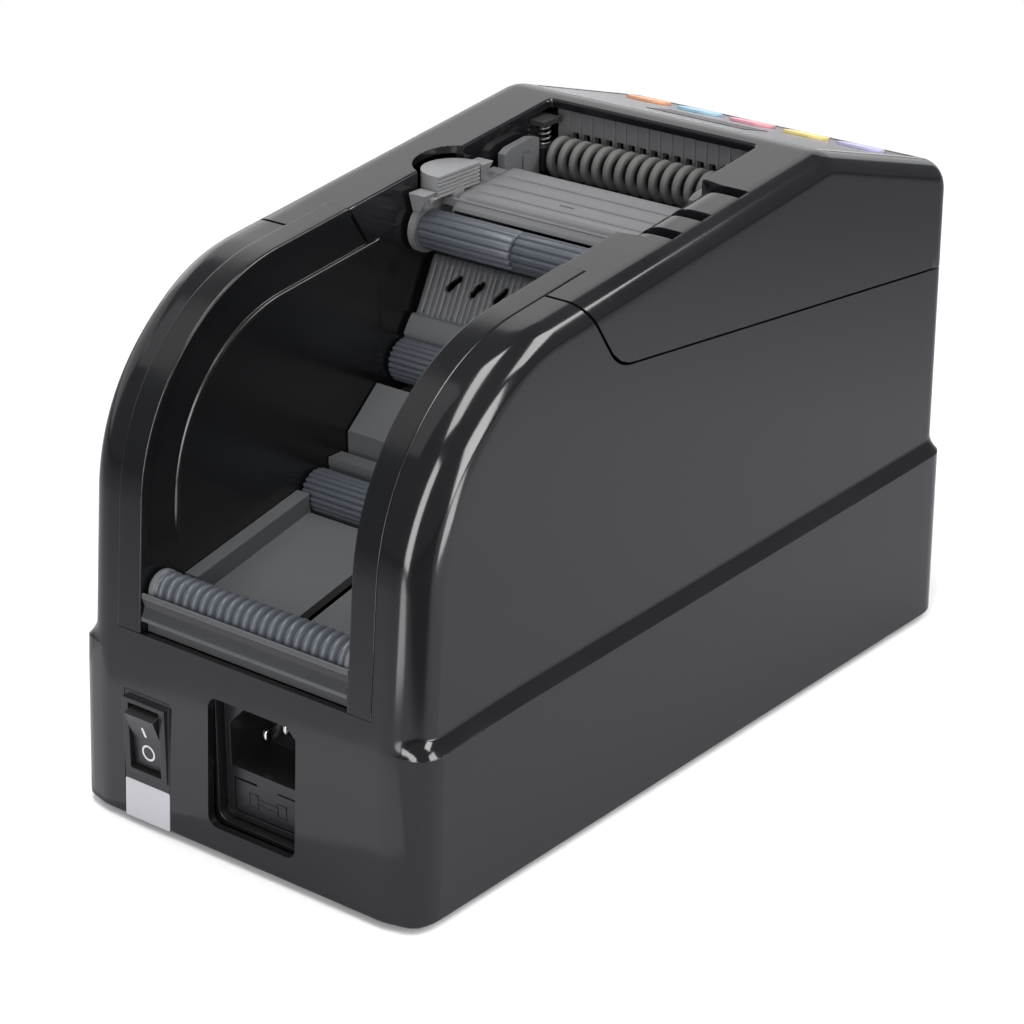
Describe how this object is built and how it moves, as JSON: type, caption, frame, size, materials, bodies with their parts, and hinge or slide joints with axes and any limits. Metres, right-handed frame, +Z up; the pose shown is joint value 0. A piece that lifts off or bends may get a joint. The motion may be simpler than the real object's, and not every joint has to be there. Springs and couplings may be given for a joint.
{
  "type": "electric tape dispenser",
  "caption": "Electric desk tape dispenser: arched open tape bay with grooved rollers, guide unit, ring feed roller, key panel, cutter behind the outlet, power switch and appliance inlet.",
  "frame": {"origin": "middle of the footprint, on the table under the feet", "axes": "+Z up, +Y towards the tape bay, switch and inlet at the rear, -Y towards the tape outlet and key panel, +X towards the latch side"},
  "size_m": [0.117, 0.2452, 0.1573],
  "materials": {
    "shell": "gloss",
    "inner": "satin",
    "tray": "satin",
    "guide": "satin",
    "side_grey": "satin",
    "roller": "satin",
    "ring_rubber": "matte",
    "foot_rubber": "matte",
    "steel": "satin",
    "spring_steel": "satin",
    "plate_steel": "satin",
    "gear": "satin",
    "bush": "satin",
    "film": "gloss",
    "window": "gloss",
    "board": "satin",
    "key_orange": "satin",
    "key_blue": "satin",
    "key_pink": "satin",
    "key_yellow": "satin",
    "key_lavender": "satin",
    "switch": "gloss"
  },
  "bodies": {
    "housing": {"main_housing": "shell", "top_cover": "shell", "base_plate": "inner", "rubber_feet": "foot_rubber", "base_screws": "steel", "bay_wall_left": "inner", "bay_wall_right": "inner", "bay_tray": "tray", "slotted_plate": "tray", "rear_axle": "steel", "lower_axle": "steel", "upper_axle": "steel", "guide_frame": "guide", "guide_axle": "steel", "feed_side_plates": "side_grey", "feed_comb": "inner", "pressure_blocks": "gear", "pressure_springs": "spring_steel", "drive_bushes": "bush", "idler_pin": "steel", "feed_motor": "steel", "chassis_left": "plate_steel", "chassis_right": "plate_steel", "tie_rods": "steel", "cutter_bracket": "plate_steel", "cutter_motor": "steel", "blade_guides": "inner", "fixed_blade": "steel", "blade_bar": "plate_steel", "outlet_tray": "inner", "control_overlay": "film", "display_window": "window", "control_board": "board", "switch_strip": "inner", "inlet_socket": "inner", "inlet_pins": "steel", "power_board": "board"},
    "power_rocker": {"switch_rocker": "switch"},
    "rear_roller_body": {"rear_roller": "roller"},
    "lower_roller_body": {"lower_roller": "roller"},
    "upper_roller_body": {"upper_roller": "roller"},
    "guide_roller_body": {"guide_roller_left": "roller", "guide_roller_right": "roller"},
    "drive": {"drive_roller": "ring_rubber", "drive_shaft": "steel", "drive_gear": "gear"},
    "pressure_roller": {"pressure_shaft": "steel", "pressure_core": "gear", "rubber_rings": "ring_rubber"},
    "idler": {"idler_gear": "gear"},
    "motor_rotor": {"motor_pinion": "bush"},
    "crank": {"crank_disc": "steel"},
    "blade": {"blade_carrier": "gear", "moving_blade": "steel"},
    "latch": {"latch_knob": "guide"},
    "key_1_body": {"key_1": "key_orange"},
    "key_2_body": {"key_2": "key_blue"},
    "key_3_body": {"key_3": "key_pink"},
    "key_4_body": {"key_4": "key_yellow"},
    "key_5_body": {"key_5": "key_lavender"}
  },
  "joints": [
    {"name": "power_tilt", "type": "hinge", "parent": "housing", "child": "power_rocker", "pos_m": [0.0325, 0.11738, 0.026], "axis": [1, 0, 0], "range_deg": [0, 24]},
    {"name": "rear_roller_spin", "type": "hinge", "parent": "housing", "child": "rear_roller_body", "pos_m": [0, 0.1102, 0.0652], "axis": [1, 0, 0], "continuous": true},
    {"name": "lower_roller_spin", "type": "hinge", "parent": "housing", "child": "lower_roller_body", "pos_m": [0, 0.051, 0.0724], "axis": [1, 0, 0], "continuous": true},
    {"name": "upper_roller_spin", "type": "hinge", "parent": "housing", "child": "upper_roller_body", "pos_m": [0, 0.015, 0.099], "axis": [1, 0, 0], "continuous": true},
    {"name": "guide_roller_spin", "type": "hinge", "parent": "housing", "child": "guide_roller_body", "pos_m": [0, 0.006, 0.1345], "axis": [1, 0, 0], "continuous": true},
    {"name": "drive_spin", "type": "hinge", "parent": "housing", "child": "drive", "pos_m": [0, -0.046, 0.1283], "axis": [1, 0, 0], "continuous": true},
    {"name": "pressure_spin", "type": "hinge", "parent": "housing", "child": "pressure_roller", "pos_m": [0, -0.046, 0.1426], "axis": [1, 0, 0], "continuous": true},
    {"name": "idler_spin", "type": "hinge", "parent": "housing", "child": "idler", "pos_m": [0, -0.04859, 0.09129], "axis": [1, 0, 0], "continuous": true},
    {"name": "motor_spin", "type": "hinge", "parent": "housing", "child": "motor_rotor", "pos_m": [0, -0.0569, 0.06028], "axis": [1, 0, 0], "continuous": true},
    {"name": "crank_turn", "type": "hinge", "parent": "housing", "child": "crank", "pos_m": [0, -0.093, 0.098], "axis": [0, 1, 0], "range_deg": [0, 180]},
    {"name": "blade_slide", "type": "slide", "parent": "housing", "child": "blade", "axis": [0, 0, 1], "range_m": [0, 0.008]},
    {"name": "latch_slide", "type": "slide", "parent": "housing", "child": "latch", "axis": [1, 0, 0], "range_m": [0, 0.0025], "stiffness_N_per_m": 300},
    {"name": "key_1_press", "type": "slide", "parent": "housing", "child": "key_1_body", "axis": [0, 0.279, -0.9603], "range_m": [0, 0.0005], "stiffness_N_per_m": 500},
    {"name": "key_2_press", "type": "slide", "parent": "housing", "child": "key_2_body", "axis": [0, 0.279, -0.9603], "range_m": [0, 0.0005], "stiffness_N_per_m": 500},
    {"name": "key_3_press", "type": "slide", "parent": "housing", "child": "key_3_body", "axis": [0, 0.279, -0.9603], "range_m": [0, 0.0005], "stiffness_N_per_m": 500},
    {"name": "key_4_press", "type": "slide", "parent": "housing", "child": "key_4_body", "axis": [0, 0.279, -0.9603], "range_m": [0, 0.0005], "stiffness_N_per_m": 500},
    {"name": "key_5_press", "type": "slide", "parent": "housing", "child": "key_5_body", "axis": [0, 0.279, -0.9603], "range_m": [0, 0.0005], "stiffness_N_per_m": 500}
  ],
  "couplings": [
    {"joint": "pressure_spin", "follows": "drive_spin", "ratio": -1.3559},
    {"joint": "idler_spin", "follows": "drive_spin", "ratio": -0.48},
    {"joint": "motor_spin", "follows": "drive_spin", "ratio": 1.7143},
    {"joint": "blade_slide", "follows": "crank_turn", "m_per_rad": 0.0025465}
  ]
}
